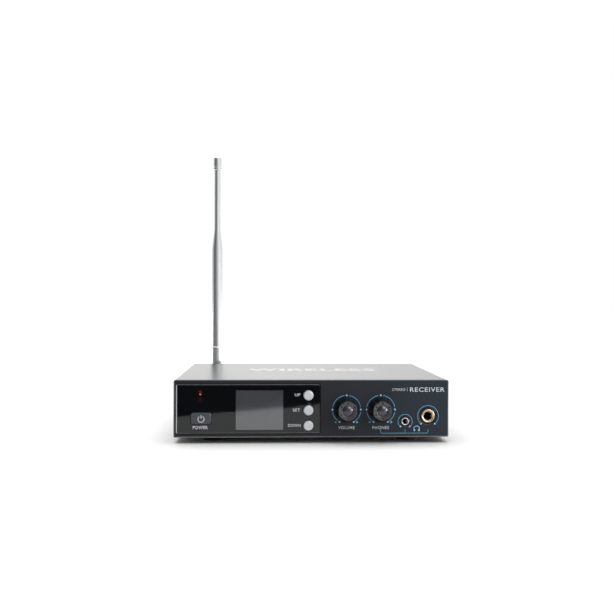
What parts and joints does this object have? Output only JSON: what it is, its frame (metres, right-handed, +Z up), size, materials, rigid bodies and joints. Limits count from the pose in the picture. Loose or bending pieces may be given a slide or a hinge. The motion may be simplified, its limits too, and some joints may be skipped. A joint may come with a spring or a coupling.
{
  "type": "wireless audio receiver",
  "caption": "Half-rack wireless audio receiver with a glossy display window, keys, two dials, headphone sockets and a folding rear antenna.",
  "frame": {"origin": "under the middle of the whole object, on the surface that its feet stand on", "axes": "+X to the right as seen from the front, +Y from the front panel to the back, +Z up"},
  "size_m": [0.2158, 0.1972, 0.2495],
  "materials": {
    "panel_finish": "fine matte dark grey anodised or powder coat, slightly blue",
    "case_paint": "satin near-black paint on steel sheet",
    "lens_acrylic": "polished black acrylic, smoked over the display",
    "screen": "unlit grey liquid-crystal panel in a dark frame",
    "led": "dim red diffused LED",
    "power_key": "satin dark grey, light printed power symbol",
    "key_silver": "satin silver paint",
    "knob_plastic": "dark grey moulded plastic with a metallic grey face",
    "rubber": "matte black rubber",
    "zinc_steel": "bright zinc plate",
    "black_steel": "black oxide and black plate",
    "black_plastic": "fine moulded black plastic",
    "circuit_board": "green solder mask",
    "nickel": "nickel plate",
    "brass": "bright gold-toned plate, lightly worn",
    "antenna_metal": "smooth satin metal"
  },
  "bodies": {
    "case": {"antenna_socket": "nickel", "board_link": "black_plastic", "board_screw_front_left": "zinc_steel", "board_screw_front_right": "zinc_steel", "board_screw_rear_left": "zinc_steel", "board_screw_rear_right": "zinc_steel", "chassis_tray": "case_paint", "control_board": "circuit_board", "cover_screw_front_left": "black_steel", "cover_screw_front_right": "black_steel", "cover_screw_rear_left": "black_steel", "cover_screw_rear_right": "black_steel", "display_lens": "lens_acrylic", "display_module": "screen", "down_switch": "black_plastic", "foot_front_left": "rubber", "foot_front_right": "rubber", "foot_rear_left": "rubber", "foot_rear_right": "rubber", "foot_screw_front_left": "zinc_steel", "foot_screw_front_right": "zinc_steel", "foot_screw_rear_left": "zinc_steel", "foot_screw_rear_right": "zinc_steel", "front_panel": "panel_finish", "large_jack_body": "black_plastic", "large_jack_sleeve": "brass", "line_out_left": "black_plastic", "line_out_right": "black_plastic", "main_board": "circuit_board", "panel_screw_left": "zinc_steel", "panel_screw_right": "zinc_steel", "phones_pot": "black_plastic", "phones_pot_nut": "zinc_steel", "power_inlet": "black_plastic", "power_led": "led", "power_switch": "black_plastic", "rear_screw_left": "black_steel", "rear_screw_right": "black_steel", "receiver_module": "nickel", "set_switch": "black_plastic", "small_jack_body": "black_plastic", "small_jack_sleeve": "nickel", "top_cover": "case_paint", "up_switch": "black_plastic", "volume_pot": "black_plastic", "volume_pot_nut": "zinc_steel"},
    "volume_dial": {"volume_knob": "knob_plastic", "volume_shaft": "zinc_steel"},
    "phones_dial": {"phones_knob": "knob_plastic", "phones_shaft": "zinc_steel"},
    "power_button": {"power_key": "power_key"},
    "up_button": {"up_key": "key_silver"},
    "set_button": {"set_key": "key_silver"},
    "down_button": {"down_key": "key_silver"},
    "lock_ring": {"antenna_lock_ring": "black_steel"},
    "antenna_swivel_base": {"antenna_base": "antenna_metal", "antenna_hinge_pin": "zinc_steel"},
    "antenna_mast": {"antenna_knuckle": "antenna_metal", "antenna_sleeve": "antenna_metal", "antenna_cap": "antenna_metal"}
  },
  "joints": [
    {"name": "volume_turn", "type": "hinge", "parent": "case", "child": "volume_dial", "pos_m": [0.0267, -0.08808, 0.0262], "axis": [0, 1, 0], "range_deg": [-150, 150]},
    {"name": "phones_turn", "type": "hinge", "parent": "case", "child": "phones_dial", "pos_m": [0.0531, -0.08808, 0.0262], "axis": [0, 1, 0], "range_deg": [-150, 150]},
    {"name": "power_press", "type": "slide", "parent": "case", "child": "power_button", "axis": [0, 1, 0], "range_m": [0, 0.001], "stiffness_N_per_m": 1800},
    {"name": "up_press", "type": "slide", "parent": "case", "child": "up_button", "axis": [0, 1, 0], "range_m": [0, 0.0007], "stiffness_N_per_m": 2400},
    {"name": "set_press", "type": "slide", "parent": "case", "child": "set_button", "axis": [0, 1, 0], "range_m": [0, 0.0007], "stiffness_N_per_m": 2400},
    {"name": "down_press", "type": "slide", "parent": "case", "child": "down_button", "axis": [0, 1, 0], "range_m": [0, 0.0007], "stiffness_N_per_m": 2400},
    {"name": "lock_ring_turn", "type": "hinge", "parent": "case", "child": "lock_ring", "pos_m": [-0.0846, 0.07692, 0.0265], "axis": [0, 1, 0], "range_deg": [0, 90]},
    {"name": "antenna_swivel", "type": "hinge", "parent": "case", "child": "antenna_swivel_base", "pos_m": [-0.0846, 0.09273, 0.0265], "axis": [0, 1, 0], "range_deg": [-90, 90]},
    {"name": "antenna_fold", "type": "hinge", "parent": "antenna_swivel_base", "child": "antenna_mast", "pos_m": [-0.0846, 0.09273, 0.0265], "axis": [-1, 0, 0], "range_deg": [0, 90]}
  ]
}
